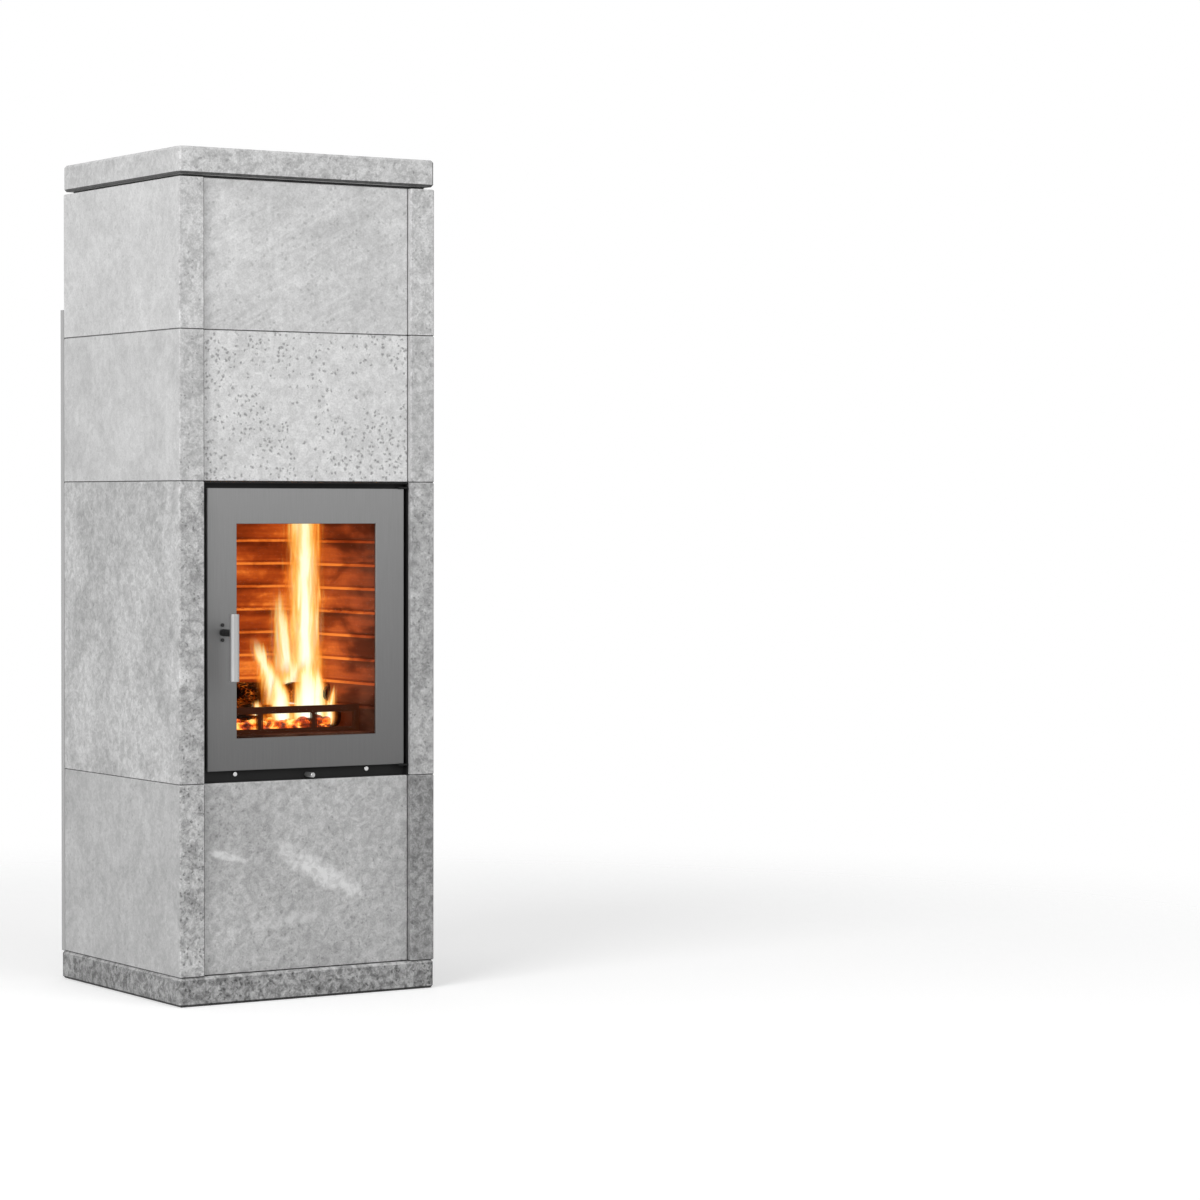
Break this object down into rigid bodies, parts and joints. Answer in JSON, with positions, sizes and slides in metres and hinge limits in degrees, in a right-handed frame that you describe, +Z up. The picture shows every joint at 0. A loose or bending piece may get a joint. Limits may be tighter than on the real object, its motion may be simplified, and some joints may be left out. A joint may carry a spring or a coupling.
{
  "type": "soapstone stove",
  "caption": "Tall stacked-stone wood stove with a glazed steel fire door, hanging bar handle, air control rod, rear heat shield and rear flue outlet.",
  "frame": {"origin": "middle of the overall footprint on the floor, at the base slab's underside", "axes": "+Z up, -Y out of the front towards the user, +X to the viewer's right"},
  "size_m": [0.58, 0.66, 1.7],
  "materials": {
    "soapstone": "honed, speckled",
    "core_block": "sawn",
    "firebrick": "grooved, sooty",
    "insulation": "matt board",
    "seal_rope": "woven glass fibre",
    "black_steel": "matt black",
    "grey_steel": "satin grey",
    "glass": "clear ceramic glass",
    "cast_iron": "as cast, sooty",
    "bright_steel": "brushed",
    "dark_steel": "blackened",
    "firewood": "charring bark"
  },
  "bodies": {
    "stove": {"air_box": "black_steel", "ash_pan": "black_steel", "back_stone_1": "soapstone", "back_stone_2": "soapstone", "back_stone_3": "soapstone", "back_stone_4": "soapstone", "baffle_plate": "firebrick", "base_slab": "soapstone", "collar_screws": "dark_steel", "door_frame": "black_steel", "firebox_floor": "core_block", "flue_collar": "cast_iron", "fresh_air_socket": "black_steel", "front_stone_lower": "soapstone", "front_stone_middle": "soapstone", "front_stone_upper": "soapstone", "grate": "cast_iron", "hearth_slab": "core_block", "insulation_boards": "insulation", "lining_back_lower": "firebrick", "lining_back_upper": "firebrick", "lining_left": "firebrick", "lining_right": "firebrick", "pedestal_blocks": "core_block", "rear_shield": "black_steel", "shield_screws": "dark_steel", "shield_spacers": "black_steel", "side_stone_left_1": "soapstone", "side_stone_left_2": "soapstone", "side_stone_left_3": "soapstone", "side_stone_left_4": "soapstone", "side_stone_right_1": "soapstone", "side_stone_right_2": "soapstone", "side_stone_right_3": "soapstone", "side_stone_right_4": "soapstone", "smoke_shelf": "core_block", "storage_blocks": "core_block", "strip_screws": "bright_steel", "top_board": "core_block", "top_seal": "seal_rope", "top_slab": "soapstone"},
    "door": {"clamp_screws": "dark_steel", "door_glass": "glass", "door_leaf": "grey_steel", "door_rope": "seal_rope", "glass_clamps": "black_steel", "glass_holder": "black_steel", "glass_tape": "seal_rope", "handle_bush": "dark_steel", "handle_screws": "dark_steel", "hinge_pins": "dark_steel"},
    "handle": {"handle_bar": "bright_steel", "handle_neck": "dark_steel", "latch_cam": "dark_steel"},
    "air_control": {"air_rod": "bright_steel", "air_valve": "bright_steel"},
    "guard": {"log_guard": "cast_iron"},
    "wood": {"firewood": "firewood"}
  },
  "joints": [
    {"name": "door_hinge", "type": "hinge", "parent": "stove", "child": "door", "pos_m": [0.219, -0.26275, 0.74], "axis": [0, 0, 1], "range_deg": [0, 110]},
    {"name": "handle_turn", "type": "hinge", "parent": "door", "child": "handle", "pos_m": [-0.1915, -0.2675, 0.74], "axis": [0, 1, 0], "range_deg": [0, 75]},
    {"name": "air_slide", "type": "slide", "parent": "stove", "child": "air_control", "axis": [0, -1, 0], "range_m": [0, 0.03]},
    {"name": "guard_lift", "type": "slide", "parent": "stove", "child": "guard", "axis": [0, 0, 1], "range_m": [0, 0.1]},
    {"name": "wood_lift", "type": "slide", "parent": "stove", "child": "wood", "axis": [0, 0, 1], "range_m": [0, 0.2]}
  ]
}
